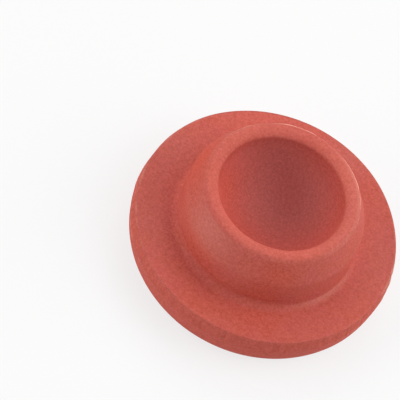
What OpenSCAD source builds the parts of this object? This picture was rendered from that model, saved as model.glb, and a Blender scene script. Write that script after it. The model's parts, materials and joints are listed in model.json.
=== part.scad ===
// Flanged rubber stopper with a hollow plug, moulded in one piece and die-trimmed round its flange.
// The stopper stands on its cap face with the plug upwards, and the origin is at the centre of that face.

/* [Flange] */
// Diameter of the cap where its rounded edge ends, its widest moulded part
cap_d = 19.05; // [18:0.05:22]
// Thickness of the flange, from the cap face to the face that seals on the vial
flange_t = 3.35; // [3:0.05:5]
// Radial width of the cap's rounded edge
cap_edge_w = 1.45; // [0.5:0.05:2.5]
// Gap between the cap's rounded edge and the lower trim line
cap_edge_gap = 0.1; // [0.05:0.05:0.5]

/* [Trimmed band] */
// Height of the band that the trimming die cuts round the flange
trim_h = 1.05; // [0.5:0.05:1.5]
// How much the band's diameter narrows from the cap to the sealing face
trim_draft = 0.25; // [0:0.05:0.5]
// How far each of the two lines of flash stands out of the band
flash_h = 0.04; // [0.02:0.01:0.15]
// Width of the foot of each line of flash
flash_w = 0.12; // [0.08:0.01:0.25]

/* [Target ring] */
// Diameter of the faint ring in the middle of the cap face
target_d = 4.3; // [2:0.1:8]
// Width of the ring's groove
target_w = 0.3; // [0.1:0.05:0.6]
// Depth of the ring's groove
target_depth = 0.06; // [0.02:0.01:0.2]

/* [Plug] */
// Diameter of the plug's straight wall, which seals in the neck
plug_d = 12.9; // [12.2:0.1:15]
// Height of the plug above the sealing face
plug_h = 4.85; // [4.4:0.05:6]
// Radius of the fillet between the plug and the sealing face
root_r = 0.55; // [0.05:0.05:0.8]
// Angle of the lead-in taper, measured from the plug's axis
lead_a = 24; // [18:1:35]
// Radius of the soft corner where the straight wall turns into the taper
lead_r = 1.1; // [0.3:0.1:3]

/* [Rim] */
// Radius of the rim's outer corner
rim_r = 0.5; // [0.2:0.05:0.7]
// Width of the flat crest between the outer corner and the crown
crest_w = 0.02; // [0.01:0.01:0.3]
// Radius of the crown, where the rim rounds over towards the cavity
crown_r = 0.9; // [0.5:0.05:1.1]
// How far the crown turns before the lip takes over
crown_a = 38; // [20:1:55]
// Radius of the lip at the cavity's mouth
lip_r = 0.3; // [0.1:0.05:0.45]

/* [Cavity] */
// Diameter of the cavity at its mouth, inside the rounded lip
mouth_d = 9.1; // [8.6:0.1:9.5]
// Depth of the cavity below the rim
cavity_depth = 5.2; // [5:0.1:6.5]
// Height of the cavity's rounded bottom
bowl_h = 4.4; // [2:0.1:4.5]
// How much the cavity's diameter narrows from the mouth to the rounded bottom
cavity_draft = 0.22; // [0:0.02:1]

/* [Hidden] */

RUBBER_RED = "#cd5c4e";
AROUND = 144;      // facets round the axis when shown as a mesh
ARC_STEP = 7.5;    // turn of each step along a rounded corner, in degrees

cap_r = cap_d / 2;
face_r = cap_r - trim_draft / 2;
plug_r = plug_d / 2;
mouth_r = mouth_d / 2;
bowl_r = mouth_r - cavity_draft / 2;
total_h = flange_t + plug_h;
trim_z = flange_t - trim_h;
cap_edge_h = trim_z - cap_edge_gap;
floor_z = total_h - cavity_depth;

// The rim's three arcs meet at tangents: the lip turns into the crown, and the crown into the outer corner
crown_over = crown_r - lip_r;
lip_c = [mouth_r + lip_r, total_h - crown_r + crown_over * cos(crown_a)];
crown_c = [lip_c.x + crown_over * sin(crown_a), total_h - crown_r];
rim_c = [crown_c.x + crest_w, total_h - rim_r];
rim_start = rim_c + rim_r * [cos(lead_a), sin(lead_a)];

// Where the taper would meet the straight wall if the corner between them were sharp
lead_corner = [plug_r, rim_start.y - (plug_r - rim_start.x) / tan(lead_a)];
lead_c = [plug_r - lead_r, lead_corner.y - lead_r * tan(lead_a / 2)];

// Points along an elliptical arc, from one angle to another
function arc(c, rx, ry, from, to) =
    let (n = max(1, ceil(abs(to - from) / ARC_STEP)))
    [for (i = [0:n]) let (t = from + (to - from) * i / n) [c.x + rx * cos(t), c.y + ry * sin(t)]];

// The cap side: target ring, flat face and rounded edge
function cap_side() = concat(
    [[0, 0]],
    [[(target_d - target_w) / 2, 0], [target_d / 2, target_depth], [(target_d + target_w) / 2, 0]],
    arc([cap_r - cap_edge_w, cap_edge_h], cap_edge_w, cap_edge_h, -90, 0)
);

// The trimmed band, with a line of flash at each edge
function trimmed_band() = [
    [cap_r, trim_z - flash_w / 2],
    [cap_r + flash_h, trim_z],
    [cap_r, trim_z + flash_w / 2],
    [face_r, flange_t - flash_w],
    [face_r + flash_h, flange_t + flash_h / 2],
    [face_r - flash_w, flange_t]
];

// The plug's outside: root fillet, straight wall, soft corner and lead-in taper
function plug_side() = concat(
    arc([plug_r + root_r, flange_t + root_r], root_r, root_r, 270, 180),
    arc(lead_c, lead_r, lead_r, 0, lead_a)
);

// The rim: outer corner, crown and lip
function rim() = concat(
    arc(rim_c, rim_r, rim_r, lead_a, 90),
    arc(crown_c, crown_r, crown_r, 90, 90 + crown_a),
    arc(lip_c, lip_r, lip_r, 90 + crown_a, 180)
);

// The cavity: a slightly tapered wall and a rounded bottom
function cavity() = arc([0, floor_z + bowl_h], bowl_r, bowl_h, 0, -90);

module stopper() {
    color(RUBBER_RED)
        rotate_extrude($fn = AROUND)
            polygon(concat(cap_side(), trimmed_band(), plug_side(), rim(), cavity()));
}

stopper();
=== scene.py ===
"""A flanged vial stopper, moulded in red rubber and trimmed by a die, on a pale studio floor."""

import json
import math

import bpy
from mathutils import Matrix, Vector


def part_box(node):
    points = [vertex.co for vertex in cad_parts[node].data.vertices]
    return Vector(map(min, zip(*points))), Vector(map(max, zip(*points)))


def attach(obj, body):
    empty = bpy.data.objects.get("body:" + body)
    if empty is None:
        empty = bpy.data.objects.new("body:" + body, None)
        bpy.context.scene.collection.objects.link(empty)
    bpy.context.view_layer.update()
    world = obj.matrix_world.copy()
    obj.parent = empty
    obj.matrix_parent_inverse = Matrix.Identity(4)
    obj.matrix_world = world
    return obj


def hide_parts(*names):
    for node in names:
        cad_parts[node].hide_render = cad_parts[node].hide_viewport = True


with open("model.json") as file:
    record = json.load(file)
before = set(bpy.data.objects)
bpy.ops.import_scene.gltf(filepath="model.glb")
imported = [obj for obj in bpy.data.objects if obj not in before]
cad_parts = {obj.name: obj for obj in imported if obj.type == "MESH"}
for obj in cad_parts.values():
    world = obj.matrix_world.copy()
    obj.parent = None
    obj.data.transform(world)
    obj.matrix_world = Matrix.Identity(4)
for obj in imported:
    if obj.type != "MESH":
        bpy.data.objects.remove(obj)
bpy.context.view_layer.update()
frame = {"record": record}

MM = 0.001

# Sizes that the frame gives, in metres
mounts = {mount["name"]: mount for mount in frame["record"]["mounts"]}
TOP_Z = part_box("stopper")[1].z
FACE_Z = mounts["sealing_face"]["pos_m"][2]
PLUG_R = mounts["plug"]["dims"]["r_mm"] * MM

# The flange: a rounded cap edge below, and above it the band that the trimming die cut
CAP_R = 9.525 * MM
FACE_R = 9.4 * MM
TRIM_H = 1.05 * MM
TRIM_Z = FACE_Z - TRIM_H
CAP_EDGE_W = 1.45 * MM
CAP_EDGE_GAP = 0.1 * MM
CAP_EDGE_H = TRIM_Z - CAP_EDGE_GAP
FLASH_H = 0.04 * MM
FLASH_W = 0.12 * MM

# The faint target ring in the middle of the cap face
TARGET_R = 2.15 * MM
TARGET_W = 0.3 * MM
TARGET_DEPTH = 0.06 * MM

# The plug: root fillet, slightly waisted wall and lead-in taper. It sits a little off the flange's axis
ROOT_R = 0.55 * MM
PLUG_WAIST = 0.066 * MM
PLUG_SHIFT = (-0.065 * MM, -0.055 * MM, 0)
LEAD_A = math.radians(24)
LEAD_R = 1.1 * MM

# The rim: an outer corner that carries a burr, a crown and a lip. The corner's turns are in degrees
RIM_R = 0.5 * MM
CREST_W = 0.02 * MM
CROWN_R = 0.9 * MM
CROWN_A = math.radians(38)
LIP_R = 0.3 * MM
BURR_TURN = 34
BURR_WIDTH = 6
CORNER_END = 68
CREST_START = 75

# The cavity rounds from its mouth to its bottom in one sweep
MOUTH_R = 4.55 * MM
CAVITY_DEPTH = 5.2 * MM

# How the mould and the trimming die left the surface
STEPS_ROUND = 480
FINISH = {
    "Flash height": 0.05 * MM,
    "Flash pitch": 0.7 * MM,
    "Burr height": 0.03 * MM,
    "Burr pitch": 1.5 * MM,
    "Streak depth": 0.07 * MM,
    "Streak pitch": 0.22 * MM,
    "Dent depth": 0.08 * MM,
    "Uneven depth": 0.02 * MM,
    "Uneven span": 5.0 * MM,
    "Seed": 7.0,
}

# The noise that the faults follow. Flash and burr are smooth at the low end of the ragged range and
# fully torn at its high end
NOISE_DETAIL = {"Flash pitch": 4.0, "Burr pitch": 3.0, "Streak pitch": 3.0, "Uneven span": 1.0}
NOISE_ROUGHNESS = 0.6
RAGGED_RANGE = 0.4

# The radius and the height from which the surface is fully uneven
UNEVEN_FULL_R = 2 * MM
UNEVEN_FULL_Z = 1 * MM

# Points nearer than this are welded, which closes the seam and the poles
WELD_GAP = 0.001 * MM

# The die's streaks run upright, so their pattern is drawn out in height
STREAK_STRETCH = (1, 1, 0.12)

# Marks on the skin. Each spot has its azimuth in degrees, then its radius, its height and how far
# it reaches, all three in mm, and last its strength
MARKS = {
    # Torn flash: its pale colour is partly the thin rubber and partly a painted highlight along the cut
    # edges
    "flash": (
        (178, 9.5, 3, 9, 0.5),
        (-140, 9.5, 3.3, 8, 0.25),
        (-25, 9.4, 2.5, 4, 0.3),
        (4, 9.5, 2.8, 3, 1.2),
    ),
    "dent": (
        (-13, 9.5, 2.8, 3.5, 0.6),
        (27, 9.5, 2.8, 4, 0.5),
    ),
    # The burr on the rim's outer corner: its pale colour is partly the thin rubber and partly a painted
    # highlight along that edge
    "burr": (
        (105, 5.5, 8, 6, 1.6),
        (45, 5.5, 8, 5, 1.5),
    ),
    # Painted sheen: a pale patch on the taper that stands in for a soft reflection
    "painted sheen": (
        (-125, 6, 7.2, 3.2, 0.11),
    ),
    # Painted highlights on the rim's outer corner and on the root fillet, where they face the soft boxes
    "painted corner highlight": (
        (35, 5.5, 8, 5, 0.16),
        (-15, 5.5, 8, 4, 0.08),
        (-26, 6.6, 3.6, 4.5, 0.2),
        (145, 5.5, 8, 4, 0.05),
    ),
    # Painted highlight: a brighter rim top and lip
    "painted_rim_highlight": (
        (0, 0, 8, 12, 0.12),
        (-160, 4.8, 8, 10, 0.2),
        (-55, 4.8, 8, 3, 0.2),
        (42, 5, 8, 3, 0.25),
    ),
    "bloom": (
        (80, 2.6, 4.2, 5.3, 1.3),
        (115, 4.4, 7, 3.5, 0.6),
        (-155, 8.3, 3.3, 5, 0.2),
        (70, 9, 3.3, 3, 0.3),
        (165, 8.4, 3.3, 4.5, 0.26),
        (12, 8.4, 3.3, 6, 0.22),
        (150, 4.4, 6.6, 2, 0.25),
    ),
    # Painted shade: a deeper, darker red on the plug, the sealing face and in the cavity, where shade falls
    "painted_shade": (
        (175, 6, 6.5, 5, 0.9),
        (-125, 6.4, 4.6, 3, 0.6),
        (-70, 6.1, 6.8, 3, 0.6),
        (-104, 8.2, 3.3, 3.4, 0.6),
        (-74, 7.5, 3.3, 3.6, 0.9),
        (178, 2.7, 3.8, 3.1, 0.9),
        (-134, 1.3, 3.2, 2, 1.2),
    ),
}

# What each point of the section carries: how much it takes part in each fault or mark, and last whether it
# belongs to the plug. The corner weight places the painted corner highlight, mouth the painted rim
# highlight, side the painted sheen and the painted shade, and edge and burr the pale flash and burr, which
# are partly painted highlight
WEIGHTS = (
    "flash_out", "flash_up", "edge", "burr", "cut",
    "bloom", "side", "corner", "mouth", "plug",
)

# The rubber's patterns, from the coarsest to the finest
MOTTLE_SPAN = 1.5 * MM
CUT_STREAK_SPAN = 0.35 * MM
CUT_STREAK_SHARE = 0.8
GRAIN_SPAN = 0.18 * MM
GRAIN_DEPTH = 0.005 * MM
GRAIN_RANGE = (-0.15, 1.15)

# The view: the eye's elevation above the sealing face and its distance, how far the view leans about
# its line of sight, how far right of its middle and below it the face's centre lies, and how many of
# its pixels the face's radius takes
EYE_ELEVATION = math.radians(55.808)
EYE_DISTANCE = 60 * FACE_R
VIEW_LEAN = math.radians(26.156)
FACE_RIGHT = 0.4947 * FACE_R
FACE_DOWN = 0.1972 * FACE_R
FACE_PIXELS = 134.233
VIEW_PIXELS = 400
SENSOR_WIDTH = 36

# The light: soft boxes round the stopper, each with its azimuth and elevation in degrees and its
# power in watts
BOX_DISTANCE = 0.5
BOX_SIZE = 0.36
SOFT_BOXES = {
    "right_box": (22, 36, 0.95),
    "back_box": (112, 36, 0.74),
    "back_left_box": (158, 36, 0.29),
    "left_box": (202, 36, 0.65),
    "low_left_box": (225, 12, 0.78),
    "near_right_box": (345, 36, 0.40),
    "high_right_box": (0, 62, 0.40),
    "high_back_box": (72, 62, 0.45),
}
ROOM_LIGHT = 0.04
FLOOR_GLOW = 0.75
FLOOR_REACH = 2.0
FLOOR_Z = -0.01 * MM


def arc(centre, radius_r, radius_z, start, end, steps):
    """Points along an elliptical arc of the section, from one angle to another in degrees."""
    turns = [math.radians(start + (end - start) * i / steps) for i in range(steps + 1)]
    return [(centre[0] + radius_r * math.cos(t), centre[1] + radius_z * math.sin(t)) for t in turns]


def line(start, end, steps, bow=0):
    """Points along a stretch of the section, without its ends, that bows to its left by this much."""
    run, rise = end[0] - start[0], end[1] - start[1]
    length = math.hypot(run, rise)
    points = []
    for share in (i / steps for i in range(1, steps)):
        push = 4 * bow * share * (1 - share) / length
        points.append((start[0] + run * share - rise * push, start[1] + rise * share + run * push))
    return points


def flange_stretches():
    """The cap side, the trimmed band between two lines of flash, and the face with the root fillet.

    Each stretch has its points, the steps that fill the gap before it, its weights and, where that
    gap isn't straight, how far it bows.
    """
    target = [(TARGET_R - TARGET_W / 2, 0), (TARGET_R - TARGET_W / 6, TARGET_DEPTH),
              (TARGET_R + TARGET_W / 6, TARGET_DEPTH), (TARGET_R + TARGET_W / 2, 0)]
    cap_edge = arc((CAP_R - CAP_EDGE_W, CAP_EDGE_H), CAP_EDGE_W, CAP_EDGE_H, -90, 0, steps=16)
    below_flash = (CAP_R, TRIM_Z - FLASH_W / 2)
    lower_flash = (CAP_R + FLASH_H, TRIM_Z)
    band_start = (CAP_R, TRIM_Z + FLASH_W / 2)
    band_end = (FACE_R + FLASH_H / 3, FACE_Z - FLASH_W / 2)
    upper_flash = (FACE_R + FLASH_H, FACE_Z + FLASH_H / 2)
    face_edge = (FACE_R - FLASH_W, FACE_Z)
    fillet = arc((PLUG_R + ROOT_R, FACE_Z + ROOT_R), ROOT_R, ROOT_R, 270, 180, steps=8)
    return [
        ([(0, 0)], 0, {}),
        (target, 4, {}),
        (cap_edge, 10, {}),
        ([below_flash], 0, {"edge": 0.4}),
        ([lower_flash], 0, {"flash_out": 1.0, "edge": 1.0}),
        ([band_start], 0, {"cut": 0.5, "edge": 0.4}),
        (line(band_start, band_end, steps=9), 0, {"cut": 1.0}),
        ([band_end], 0, {"cut": 0.5, "flash_out": 0.4}),
        ([upper_flash], 0, {"flash_out": 0.7, "flash_up": 0.5, "edge": 0.5}),
        ([face_edge], 0, {"bloom": 1.0}),
        (fillet[:1], 12, {"bloom": 1.0, "side": 0.5}),
        # The root fillet's corner weights place the painted corner highlight
        (fillet[1:2], 0, {"corner": 0.2}),
        (fillet[2:3], 0, {"corner": 0.4}),
        (fillet[3:4], 0, {"corner": 0.6}),
        (fillet[4:6], 0, {"corner": 1.0}),
        (fillet[6:], 0, {}),
    ]


def plug_stretches():
    """The wall, the soft corner and taper of the lead-in, the rim with its burr, and the cavity."""
    lip_centre = (MOUTH_R + LIP_R, TOP_Z - CROWN_R + (CROWN_R - LIP_R) * math.cos(CROWN_A))
    cavity_height = CAVITY_DEPTH - TOP_Z + lip_centre[1]
    crown_centre = (lip_centre[0] + (CROWN_R - LIP_R) * math.sin(CROWN_A), TOP_Z - CROWN_R)
    rim_centre = (crown_centre[0] + CREST_W, TOP_Z - RIM_R)
    rim_start = (rim_centre[0] + RIM_R * math.cos(LEAD_A), rim_centre[1] + RIM_R * math.sin(LEAD_A))
    lead_z = rim_start[1] - (PLUG_R - rim_start[0]) / math.tan(LEAD_A)
    lead_centre = (PLUG_R - LEAD_R, lead_z - LEAD_R * math.tan(LEAD_A / 2))
    lead_turn = math.degrees(LEAD_A)
    crown_turn = 90 + math.degrees(CROWN_A)

    lead = arc(lead_centre, LEAD_R, LEAD_R, 0, lead_turn, steps=6)
    before_burr = arc(rim_centre, RIM_R, RIM_R, lead_turn, BURR_TURN - BURR_WIDTH, steps=1)
    burr = arc(rim_centre, RIM_R, RIM_R, BURR_TURN, BURR_TURN, steps=1)[:1]
    corner = arc(rim_centre, RIM_R, RIM_R, BURR_TURN + BURR_WIDTH, CORNER_END, steps=4)
    crest = arc(rim_centre, RIM_R, RIM_R, CREST_START, 90, steps=2)
    crown = arc(crown_centre, CROWN_R, CROWN_R, 90, crown_turn, steps=9)
    lip = arc(lip_centre, LIP_R, LIP_R, crown_turn, 180, steps=6)
    cavity = arc((0, lip_centre[1]), MOUTH_R, cavity_height, 0, -90, steps=36)
    stretches = [
        (lead, 12, {"side": 1.0}, PLUG_WAIST),
        (before_burr, 8, {"side": 1.0}),
        # The corner and mouth weights place the painted highlights on the rim, and the side weight places
        # the painted sheen and the painted shade
        (burr, 0, {"burr": 1.0, "corner": 1.0}),
        (corner, 0, {"corner": 1.0}),
        (crest + crown[:5], 0, {"corner": 0.3, "mouth": 0.6}),
        (crown[5:], 0, {"corner": 0.2, "mouth": 1.0}),
        (lip[1:3], 0, {"mouth": 1.0, "bloom": 0.3}),
        (lip[3:], 0, {"bloom": 0.5}),
        (cavity[1:], 0, {"bloom": 1.0, "side": 0.3}),
    ]
    return [(points, fill, {"plug": 1.0, **weights}, *bow) for points, fill, weights, *bow in stretches]


def section():
    """The half section, from the middle of the cap face to the bottom of the cavity, with its weights."""
    outline = []
    for points, fill, weights, *bow in flange_stretches() + plug_stretches():
        if fill:
            outline += [(point, weights) for point in line(outline[-1][0], points[0], fill, *bow)]
        outline += [(point, weights) for point in points]
    return outline


def section_object():
    """The half section as a row of loose points, each with its weights."""
    outline = section()
    mesh = bpy.data.meshes.new("section")
    mesh.from_pydata([(r, 0, z) for (r, z), weights in outline], [], [])
    for name in WEIGHTS:
        layer = mesh.attributes.new(name, "FLOAT", "POINT")
        layer.data.foreach_set("value", [weights.get(name, 0.0) for point, weights in outline])
    section_row = bpy.data.objects.new("section", mesh)
    bpy.context.scene.collection.objects.link(section_row)
    return section_row


def in_use(sockets, key):
    """The socket at this place, or the one in use that has this name."""
    return sockets[key] if isinstance(key, int) else next(s for s in sockets if s.name == key and s.enabled)


def add_node(tree, kind, settings=None, inputs=None, give=0):
    """Adds a node, sets its properties, sets or links its inputs, and gives one output, or all of them."""
    node = tree.nodes.new(kind)
    for name, value in (settings or {}).items():
        setattr(node, name, value)
    for key, value in (inputs or {}).items():
        target = in_use(node.inputs, key)
        if isinstance(value, bpy.types.NodeSocket):
            tree.links.new(value, target)
        else:
            target.default_value = value
    return node.outputs if give is None else in_use(node.outputs, give)


def marked(tree, place, mark):
    """How strong a mark is at a place: each of its spots is strongest in its middle and fades outwards."""
    total = 0.0
    for azimuth, radius, height, reach, most in MARKS[mark]:
        azimuth = math.radians(azimuth)
        spot = (radius * math.cos(azimuth) * MM, radius * math.sin(azimuth) * MM, height * MM)
        away = add_node(tree, "ShaderNodeVectorMath", {"operation": "DISTANCE"},
                        {0: place, 1: spot}, "Value")
        share = add_node(tree, "ShaderNodeMapRange", {"interpolation_type": "SMOOTHSTEP"},
                         {"Value": away, "From Min": reach * MM, "From Max": 0.0, "To Max": most})
        total = add_node(tree, "ShaderNodeMath", {"operation": "ADD"}, {0: total, 1: share})
    return total


def turned_grid(tree, given):
    """A grid with a row for each point of the section and a column for each step round the axis."""
    rows = add_node(tree, "GeometryNodeAttributeDomainSize", {"component": "MESH"},
                    {"Geometry": given["Section"]}, "Point Count")
    columns = add_node(tree, "FunctionNodeIntegerMath", {"operation": "ADD"},
                       {0: given["Steps round"], 1: 1})
    grid = add_node(tree, "GeometryNodeMeshGrid", {}, {"Vertices X": rows, "Vertices Y": columns}, "Mesh")
    index = add_node(tree, "GeometryNodeInputIndex")
    row = add_node(tree, "FunctionNodeIntegerMath", {"operation": "DIVIDE_FLOOR"}, {0: index, 1: columns})
    column = add_node(tree, "FunctionNodeIntegerMath", {"operation": "MODULO"}, {0: index, 1: columns})
    turn = add_node(tree, "ShaderNodeMapRange", {},
                    {"Value": column, "From Max": given["Steps round"], "To Max": -2 * math.pi})
    return grid, row, turn


def from_section(tree, given, row):
    """The place and the weights that the section gives each row."""
    position = add_node(tree, "GeometryNodeInputPosition")
    flat = add_node(tree, "GeometryNodeSampleIndex", {"data_type": "FLOAT_VECTOR"},
                    {"Geometry": given["Section"], "Value": position, "Index": row})
    weight = {}
    for name in WEIGHTS:
        carried = add_node(tree, "GeometryNodeInputNamedAttribute", {"data_type": "FLOAT"},
                           {"Name": name}, "Attribute")
        weight[name] = add_node(tree, "GeometryNodeSampleIndex", {"data_type": "FLOAT"},
                                {"Geometry": given["Section"], "Value": carried, "Index": row})
    return flat, weight


def fault_noise(tree, given, smooth):
    """The noise that each kind of fault follows, on its own scale and all with one seed."""
    upright = add_node(tree, "ShaderNodeVectorMath", {"operation": "MULTIPLY"},
                       {0: smooth, 1: STREAK_STRETCH})
    noise = {}
    for span, detail in NOISE_DETAIL.items():
        scale = add_node(tree, "ShaderNodeMath", {"operation": "DIVIDE"}, {0: 1.0, 1: given[span]})
        noise[span] = add_node(tree, "ShaderNodeTexNoise", {"noise_dimensions": "4D", "normalize": False},
                               {"Vector": upright if span == "Streak pitch" else smooth, "W": given["Seed"],
                                "Scale": scale, "Detail": detail, "Roughness": NOISE_ROUGHNESS})
    return noise


def faults(tree, given, smooth, weight):
    """How torn the flash and the burr are, and how far each fault stands out of the true surface."""
    noise = fault_noise(tree, given, smooth)
    torn = {}
    for name, span in (("flash", "Flash pitch"), ("burr", "Burr pitch")):
        ragged = add_node(tree, "ShaderNodeMapRange", {},
                          {"Value": noise[span], "From Min": -RAGGED_RANGE, "From Max": RAGGED_RANGE})
        torn[name] = add_node(tree, "ShaderNodeMath", {"operation": "MULTIPLY"},
                              {0: ragged, 1: marked(tree, smooth, name)})
    torn["burr"] = add_node(tree, "ShaderNodeMath", {"operation": "MULTIPLY"},
                            {0: torn["burr"], 1: weight["burr"]})
    shapes = {
        "Flash height": torn["flash"],
        "Burr height": torn["burr"],
        "Dent depth": marked(tree, smooth, "dent"),
        "Streak depth": noise["Streak pitch"],
        "Uneven depth": noise["Uneven span"],
    }
    height = {}
    for size, shape in shapes.items():
        height[size] = add_node(tree, "ShaderNodeMath", {"operation": "MULTIPLY"},
                                {0: shape, 1: given[size]})
    return torn, height


def moved_by_faults(tree, flat, weight, height):
    """Moves each point by every fault's height: a share of it goes out from the axis, and a share up.

    The unevenness fades out towards the axis, where the section closes, and doesn't lift the cap
    face, which the stopper stands on.
    """
    parts = add_node(tree, "ShaderNodeSeparateXYZ", {}, {0: flat}, None)
    spread = add_node(tree, "ShaderNodeMapRange", {}, {"Value": parts["X"], "From Max": UNEVEN_FULL_R})
    lift = add_node(tree, "ShaderNodeMapRange", {}, {"Value": parts["Z"], "From Max": UNEVEN_FULL_Z})
    lean = math.radians(BURR_TURN)
    directions = {
        "Flash height": (weight["flash_out"], weight["flash_up"]),
        "Streak depth": (weight["cut"], 0.0),
        "Dent depth": (-1.0, 0.0),
        "Uneven depth": (spread, lift),
        "Burr height": (math.cos(lean), math.sin(lean)),
    }
    moved = flat
    for size, (out, up) in directions.items():
        push = add_node(tree, "ShaderNodeCombineXYZ", {}, {"X": out, "Z": up})
        step = add_node(tree, "ShaderNodeVectorMath", {"operation": "SCALE"},
                        {0: push, "Scale": height[size]})
        moved = add_node(tree, "ShaderNodeVectorMath", {"operation": "ADD"}, {0: moved, 1: step})
    return moved


def marked_skin(tree, shaped, smooth, weight, torn):
    """Stores what the material reads: the cut band, the dust's bloom, the painted shade, the painted rim
    highlight, and where the skin is pale.

    Torn flash and burr are pale, partly from their thin rubber and partly as painted highlight; the painted
    sheen on the taper and the painted corner highlights are pale too.
    """
    # Pale: torn flash and burr, partly thin rubber and partly painted highlight, with the painted sheen and
    # the painted corner highlights
    paler = {
        "edge": torn["flash"],
        "side": marked(tree, smooth, "painted sheen"),
        "corner": marked(tree, smooth, "painted corner highlight"),
    }
    pale = torn["burr"]
    for name, strength in paler.items():
        pale = add_node(tree, "ShaderNodeMath", {"operation": "MULTIPLY_ADD"},
                        {0: weight[name], 1: strength, 2: pale})
    read = {"cut": weight["cut"], "pale": pale}
    # The dust's bloom, the painted shade and the painted rim highlight, each within its weight
    for mark, name in (("bloom", "bloom"), ("painted_shade", "side"), ("painted_rim_highlight", "mouth")):
        read[mark] = add_node(tree, "ShaderNodeMath", {"operation": "MULTIPLY"},
                              {0: weight[name], 1: marked(tree, smooth, mark)})
    for name, value in read.items():
        shaped = add_node(tree, "GeometryNodeStoreNamedAttribute", {"data_type": "FLOAT", "domain": "POINT"},
                          {"Geometry": shaped, "Name": name, "Value": value})
    return shaped


def moulding_tree(material):
    """Turns the half section round the axis, with ragged flash, a streaked cut and uneven faces."""
    tree = bpy.data.node_groups.new("moulding", "GeometryNodeTree")
    tree.is_modifier = True
    tree.interface.new_socket("Section", in_out="INPUT", socket_type="NodeSocketGeometry")
    tree.interface.new_socket("Moulding", in_out="OUTPUT", socket_type="NodeSocketGeometry")
    tree.interface.new_socket("Steps round", in_out="INPUT", socket_type="NodeSocketInt")
    for name in FINISH:
        tree.interface.new_socket(name, in_out="INPUT", socket_type="NodeSocketFloat")
    given = add_node(tree, "NodeGroupInput", give=None)

    grid, row, turn = turned_grid(tree, given)
    flat, weight = from_section(tree, given, row)
    smooth = add_node(tree, "ShaderNodeVectorRotate", {"rotation_type": "Z_AXIS"},
                      {"Vector": flat, "Angle": turn})
    torn, height = faults(tree, given, smooth, weight)
    moved = moved_by_faults(tree, flat, weight, height)
    turned = add_node(tree, "ShaderNodeVectorRotate", {"rotation_type": "Z_AXIS"},
                      {"Vector": moved, "Angle": turn})
    shift = add_node(tree, "ShaderNodeVectorMath", {"operation": "SCALE"},
                     {0: PLUG_SHIFT, "Scale": weight["plug"]})
    shaped = add_node(tree, "GeometryNodeSetPosition", {},
                      {"Geometry": grid, "Position": turned, "Offset": shift})
    skinned = marked_skin(tree, shaped, smooth, weight, torn)
    closed = add_node(tree, "GeometryNodeMergeByDistance", {}, {"Geometry": skinned, "Distance": WELD_GAP})
    shaded = add_node(tree, "GeometryNodeSetShadeSmooth", {}, {"Geometry": closed, "Shade Smooth": True})
    real = add_node(tree, "GeometryNodeRealizeInstances", {}, {"Geometry": shaded})
    finished = add_node(tree, "GeometryNodeSetMaterial", {}, {"Geometry": real, "Material": material})
    add_node(tree, "NodeGroupOutput", {}, {"Moulding": finished}, None)
    return tree


def stopper_moulding(material):
    """The whole stopper, turned from its half section and made a plain mesh."""
    source = section_object()
    modifier = source.modifiers.new("moulding", "NODES")
    modifier.node_group = moulding_tree(material)
    sizes = {"Steps round": STEPS_ROUND, **FINISH}
    for item in modifier.node_group.interface.items_tree:
        if item.name in sizes:
            modifier[item.identifier] = sizes[item.name]
    bpy.context.view_layer.update()
    evaluated = source.evaluated_get(bpy.context.evaluated_depsgraph_get())
    mesh = bpy.data.meshes.new_from_object(evaluated)
    mesh.name = "stopper_moulding"
    source.modifiers.remove(modifier)
    bpy.data.objects.remove(source)
    moulding = bpy.data.objects.new("stopper_moulding", mesh)
    bpy.context.scene.collection.objects.link(moulding)
    return moulding


def linear(hex_colour):
    """An sRGB hex colour as the linear colour that the shaders use."""
    parts = [int(hex_colour[i:i + 2], 16) / 255 for i in (1, 3, 5)]
    return tuple(p / 12.92 if p <= 0.04045 else ((p + 0.055) / 1.055) ** 2.4 for p in parts) + (1.0,)


def empty_material(name):
    """A material with an empty node tree."""
    material = bpy.data.materials.new(name)
    material.use_nodes = True
    material.node_tree.nodes.clear()
    return material


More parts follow.
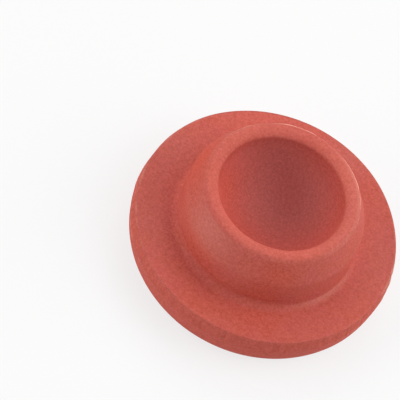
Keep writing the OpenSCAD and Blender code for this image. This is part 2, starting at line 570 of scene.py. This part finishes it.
def red_moulded_rubber():
    """Red natural rubber, compression moulded, with a dusty bloom and a matte die-cut edge.

    The eye sees a matte, faintly chalky skin with a fine grain. The chalk dulls its shine, so the
    specular level is below that of clean rubber.
    """
    material = empty_material("red_moulded_rubber")
    tree = material.node_tree
    place = add_node(tree, "ShaderNodeTexCoord", give="Object")

    # Soft mottling, where the pigment is uneven: some places are more orange and others more pink
    mottle = add_node(tree, "ShaderNodeTexNoise", {},
                      {"Vector": place, "Scale": 1 / MOTTLE_SPAN, "Detail": 3.0, "Roughness": 0.7})
    tint = add_node(tree, "ShaderNodeMix", {"data_type": "RGBA"},
                    {"Factor": mottle, "A": linear("#CF6452"), "B": linear("#CD6260")}, "Result")

    # A deeper, darker red as painted shade, brighter where a painted highlight lies on the rim and its lip,
    # greyer where the dust's bloom lies, and palest on torn flash and burr, partly thin rubber and partly
    # painted highlight, and on the painted sheen and painted corner highlights
    marks = {"painted_shade": "#CD5445", "painted_rim_highlight": "#E87264", "bloom": "#CD7874", "pale": "#FFBFAD"}
    for mark, colour in marks.items():
        share = add_node(tree, "ShaderNodeAttribute", {"attribute_name": mark}, give="Fac")
        tint = add_node(tree, "ShaderNodeMix", {"data_type": "RGBA"},
                        {"Factor": share, "A": tint, "B": linear(colour)}, "Result")

    # Streaks that the die drew along the cut
    upright = add_node(tree, "ShaderNodeVectorMath", {"operation": "MULTIPLY"},
                       {0: place, 1: STREAK_STRETCH})
    streak = add_node(tree, "ShaderNodeTexNoise", {},
                      {"Vector": upright, "Scale": 1 / CUT_STREAK_SPAN, "Detail": 2.0, "Roughness": 0.7})
    streak_tint = add_node(tree, "ShaderNodeMix", {"data_type": "RGBA"},
                           {"Factor": streak, "A": linear("#B04B42"), "B": linear("#E46F62")}, "Result")
    cut = add_node(tree, "ShaderNodeAttribute", {"attribute_name": "cut"}, give="Fac")
    cut_share = add_node(tree, "ShaderNodeMath", {"operation": "MULTIPLY"}, {0: cut, 1: CUT_STREAK_SHARE})
    tint = add_node(tree, "ShaderNodeMix", {"data_type": "RGBA"},
                    {"Factor": cut_share, "A": tint, "B": streak_tint}, "Result")

    # Fine grain all over, from the mould's blasted face and its dust. The real grain is too fine to
    # show, so this one is as coarse as it needs to be
    grain = add_node(tree, "ShaderNodeTexNoise", {},
                     {"Vector": place, "Scale": 1 / GRAIN_SPAN, "Detail": 1.0, "Roughness": 1.0})
    grain_share = add_node(tree, "ShaderNodeMapRange", {},
                           {"Value": grain, "From Min": GRAIN_RANGE[0], "From Max": GRAIN_RANGE[1]})
    grain_tint = add_node(tree, "ShaderNodeMix", {"data_type": "RGBA"},
                          {"Factor": grain_share, "A": linear("#ABB6B6"), "B": linear("#CBC2C1")}, "Result")
    tint = add_node(tree, "ShaderNodeMix", {"data_type": "RGBA", "blend_type": "LINEAR_LIGHT"},
                    {"Factor": 1.0, "A": tint, "B": grain_tint}, "Result")

    bump = add_node(tree, "ShaderNodeBump", {}, {"Height": grain, "Distance": GRAIN_DEPTH})
    skin = add_node(tree, "ShaderNodeBsdfPrincipled", {},
                    {"Base Color": tint, "Normal": bump, "Roughness": 0.7, "IOR": 1.52,
                     "Specular IOR Level": 0.05})
    add_node(tree, "ShaderNodeOutputMaterial", {}, {"Surface": skin}, None)
    return material


def seen_directly(tree):
    """Is 1 where the eye sees a surface itself or its reflection, and 0 where it only lights others."""
    path = add_node(tree, "ShaderNodeLightPath", give=None)
    mirrored = add_node(tree, "ShaderNodeMath", {"operation": "MAXIMUM"},
                        {0: path["Is Glossy Ray"], 1: path["Is Transmission Ray"]})
    return add_node(tree, "ShaderNodeMath", {"operation": "MAXIMUM"},
                    {0: path["Is Camera Ray"], 1: mirrored})


def white_studio_card():
    """Matte white card. Part of its white is its own where it is seen, and the rest takes a soft shadow."""
    material = empty_material("white_studio_card")
    tree = material.node_tree
    card = add_node(tree, "ShaderNodeBsdfDiffuse", {}, {"Color": linear("#F4F4F4")})
    glow = add_node(tree, "ShaderNodeEmission", {}, {"Color": linear("#FFFFFF"), "Strength": 1.0})
    share = add_node(tree, "ShaderNodeMath", {"operation": "MULTIPLY"},
                     {0: seen_directly(tree), 1: FLOOR_GLOW})
    surface = add_node(tree, "ShaderNodeMixShader", {}, {0: share, 1: card, 2: glow})
    add_node(tree, "ShaderNodeOutputMaterial", {}, {"Surface": surface}, None)
    return material


def pale_floor():
    """The floor that the stopper stands on, far wider than the view."""
    mesh = bpy.data.meshes.new("studio_floor")
    corners = [(FLOOR_REACH * x, FLOOR_REACH * y, FLOOR_Z) for x, y in ((-1, -1), (1, -1), (1, 1), (-1, 1))]
    mesh.from_pydata(corners, [], [(0, 1, 2, 3)])
    mesh.materials.append(white_studio_card())
    floor = bpy.data.objects.new("studio_floor", mesh)
    bpy.context.scene.collection.objects.link(floor)


def studio_world():
    """A little even room light from every side, seen as white behind the object."""
    world = bpy.data.worlds.new("studio")
    bpy.context.scene.world = world
    world.use_nodes = True
    tree = world.node_tree
    tree.nodes.clear()
    room = add_node(tree, "ShaderNodeBackground", {}, {"Color": linear("#FFFFFF"), "Strength": ROOM_LIGHT})
    white = add_node(tree, "ShaderNodeBackground", {}, {"Color": linear("#FFFFFF"), "Strength": 1.0})
    surface = add_node(tree, "ShaderNodeMixShader", {}, {0: seen_directly(tree), 1: room, 2: white})
    add_node(tree, "ShaderNodeOutputWorld", {}, {"Surface": surface}, None)


def soft_box(name, azimuth, elevation, power):
    """A square soft box that looks at the stopper from an azimuth and an elevation in degrees."""
    light = bpy.data.lights.new(name, "AREA")
    light.shape = "SQUARE"
    light.size = BOX_SIZE
    light.energy = power
    box = bpy.data.objects.new(name, light)
    azimuth, elevation = math.radians(azimuth), math.radians(elevation)
    away = Vector((math.cos(azimuth) * math.cos(elevation), math.sin(azimuth) * math.cos(elevation),
                   math.sin(elevation)))
    turn = away.to_track_quat("Z", "Y").to_matrix().to_4x4()
    box.matrix_world = Matrix.Translation(away * BOX_DISTANCE) @ turn
    bpy.context.scene.collection.objects.link(box)


def studio_camera():
    """The eye looks down on the plug along +Y, in a leaning view that has the stopper off its middle."""
    axis = Vector((math.sin(VIEW_LEAN), math.cos(VIEW_LEAN), 0)) * math.cos(EYE_ELEVATION)
    axis += Vector((0, 0, 1)) * math.sin(EYE_ELEVATION)
    side = Vector((math.cos(VIEW_LEAN), -math.sin(VIEW_LEAN), 0))
    # Each row is one of the stopper's axes, X, Y and Z, as the eye sees it: how far it points right,
    # up and backwards
    turn = Matrix((side, axis.cross(side), axis))
    seen_centre = Vector((FACE_RIGHT, -FACE_DOWN, -EYE_DISTANCE))
    camera_data = bpy.data.cameras.new("eye")
    camera_data.sensor_width = SENSOR_WIDTH
    camera_data.lens = FACE_PIXELS * EYE_DISTANCE / FACE_R * SENSOR_WIDTH / VIEW_PIXELS
    camera = bpy.data.objects.new("eye", camera_data)
    place = Matrix.Translation(Vector((0, 0, FACE_Z)) - turn @ seen_centre)
    camera.matrix_world = place @ turn.to_4x4()
    bpy.context.scene.collection.objects.link(camera)
    bpy.context.scene.camera = camera


stopper = stopper_moulding(red_moulded_rubber())
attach(stopper, "root")
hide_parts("stopper")

pale_floor()
studio_world()
for box_name, (box_azimuth, box_elevation, box_power) in SOFT_BOXES.items():
    soft_box(box_name, box_azimuth, box_elevation, box_power)
studio_camera()
bpy.context.scene.view_settings.view_transform = "Standard"
